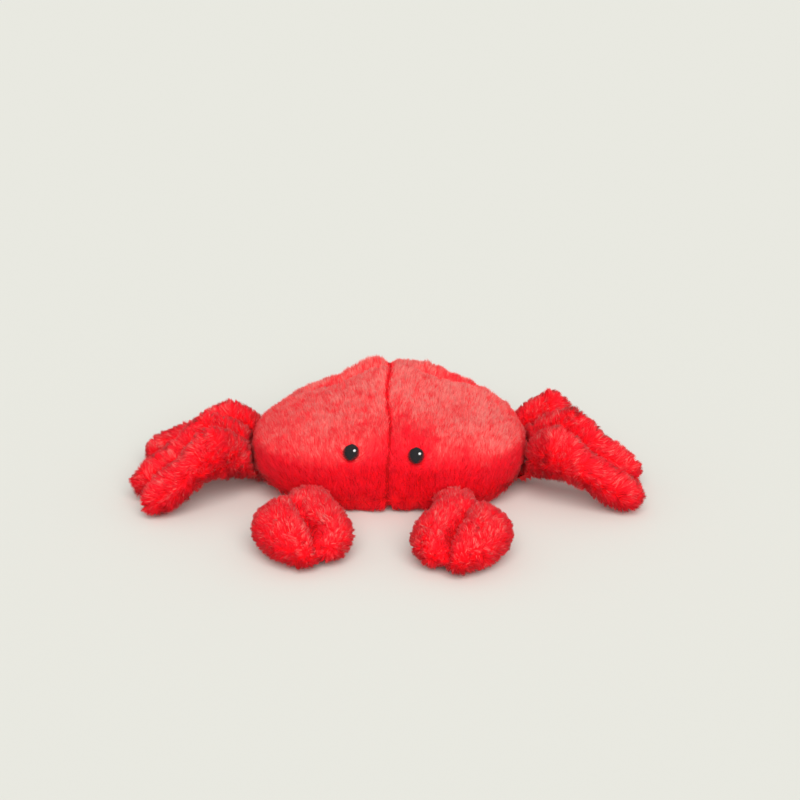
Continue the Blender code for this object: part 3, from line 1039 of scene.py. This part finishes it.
# No pile in the eyes, with 1 at the eye's edge, and little pile under the limbs
EYE_BARE = 0.55
EYE_BARE_FADE = 0.5
UNDERSIDE_NORMAL = -0.75
BODY_UNDERSIDE_TOP = 0.010
LIMB_UNDERSIDE_TOP = 0.006
LIMB_UNDERSIDE_SHARE = 0.4

BODY_SEED = 100
LIMB_SEED = 200


def thinned(near, rule):
    added, least = rule
    return np.clip((near + added) / NEAR_FADE, least, 1.0)


def underside(places, normals, top):
    return (normals[:, 2] < UNDERSIDE_NORMAL) & (places[:, 2] < top)


def grow_body_pile(skins, hollows, trees, material):
    """Pile of the body's two sides and belly, thinner beside the limbs and none in the eyes."""
    places, normals, _ = mesh_arrays(skins["body"].data)
    near = np.full(len(places), 1.0)
    for node in LEGS + CLAWS:
        near = np.minimum(near, distances_to(trees[node], places))
    weights = thinned(near, BODY_BY_LIMB)
    for seat in EYE_SEATS:
        far, _ = seat.shares(places)
        weights *= fade((far - EYE_BARE) / EYE_BARE_FADE)
    under = underside(places, normals, BODY_UNDERSIDE_TOP)
    parts = (
        ("body_pile_left", (places[:, 0] < SEAM_X) & ~under, BODY_SIDE_STRANDS),
        ("body_pile_right", (places[:, 0] >= SEAM_X) & ~under, BODY_SIDE_STRANDS),
        ("body_pile_belly", under, BELLY_STRANDS),
    )
    for seed, (name, part, count) in enumerate(parts, start=BODY_SEED):
        grow_pile(name, skins["body"], hollows["body"], BODY_PILE, count, weights * part,
                  (body_lean, body_shape, body_tone), material, seed)


def grow_limb_piles(skins, hollows, trees, material):
    """Pile of the legs and claws, thinner beside their neighbours and under them."""
    for seed, node in enumerate(LEGS + CLAWS, start=LIMB_SEED):
        places, normals, _ = mesh_arrays(skins[node].data)
        weights = thinned(distances_to(trees["body"], places), LIMB_BY_BODY)
        for other in LEGS + CLAWS:
            if other != node:
                weights *= thinned(distances_to(trees[other], places), LIMB_BY_LIMB)
        under = underside(places, normals, LIMB_UNDERSIDE_TOP)
        weights = np.where(under, weights * LIMB_UNDERSIDE_SHARE, weights)
        if node in LEGS:
            lean, pile, count = leg_lean(node), LEG_PILE, LEG_STRANDS
        else:
            lean, pile, count = claw_lean(node), CLAW_PILE, CLAW_STRANDS
        grow_pile(node + "_pile", skins[node], hollows[node], pile, count, weights,
                  (lean, limb_shape, limb_tone), material, seed)


# Floor, light and camera

def add_floor():
    half = FLOOR_HALF
    mesh = bpy.data.meshes.new("floor")
    corners = [(-half, -half, 0.0), (half, -half, 0.0), (half, half, 0.0), (-half, half, 0.0)]
    mesh.from_pydata(corners, [], [(0, 1, 2, 3)])
    floor = bpy.data.objects.new("floor", mesh)
    bpy.context.scene.collection.objects.link(floor)
    made, _, shader = new_material("floor", 0.9)
    shader.inputs["Base Color"].default_value = FLOOR_COLOUR
    shader.inputs["Specular IOR Level"].default_value = 0.0
    mesh.materials.append(made)


def add_surround():
    """Even white light from all around, seen by the camera as the backdrop's colour."""
    world = bpy.data.worlds.new("surround")
    world.use_nodes = True
    tree = world.node_tree
    background = tree.nodes["Background"]
    background.inputs["Color"].default_value = (1.0, 1.0, 1.0, 1.0)
    background.inputs["Strength"].default_value = SURROUND
    seen = tree.nodes.new("ShaderNodeBackground")
    seen.inputs["Color"].default_value = BACKDROP_COLOUR
    path = tree.nodes.new("ShaderNodeLightPath")
    mix = tree.nodes.new("ShaderNodeMixShader")
    tree.links.new(path.outputs["Is Camera Ray"], mix.inputs["Fac"])
    tree.links.new(background.outputs["Background"], mix.inputs[1])
    tree.links.new(seen.outputs["Background"], mix.inputs[2])
    tree.links.new(mix.outputs["Shader"], tree.nodes["World Output"].inputs["Surface"])
    bpy.context.scene.world = world


def add_key():
    lamp = bpy.data.lights.new("key", "SUN")
    lamp.energy = KEY_STRENGTH
    lamp.angle = math.radians(KEY_ANGLE)
    key = bpy.data.objects.new("key", lamp)
    key.rotation_euler = [math.radians(turn) for turn in KEY_TILT]
    bpy.context.scene.collection.objects.link(key)


def add_camera():
    data = bpy.data.cameras.new("camera")
    data.lens = CAMERA_LENS
    data.sensor_width = CAMERA_SENSOR
    data.clip_end = CAMERA_CLIP_END
    camera = bpy.data.objects.new("camera", data)
    camera.location = (SEAM_X + CAMERA_ASIDE, FACE_Y - CAMERA_BACK, CAMERA_HEIGHT)
    camera.rotation_euler = (math.radians(CAMERA_PITCH), 0.0, 0.0)
    bpy.context.scene.collection.objects.link(camera)
    bpy.context.scene.camera = camera


def build():
    pile = pile_material()
    backing = backing_material()
    trees = {node: node_tree_of(node) for node in SOFT_NODES}
    skins, hollows = make_skins(trees, backing)
    grow_body_pile(skins, hollows, trees, pile)
    grow_limb_piles(skins, hollows, trees, pile)
    make_eyes()


bpy.context.scene.view_settings.view_transform = "Standard"
bpy.context.scene.cycles.diffuse_bounces = LIGHT_BOUNCES
add_camera()
add_floor()
add_surround()
add_key()
build()
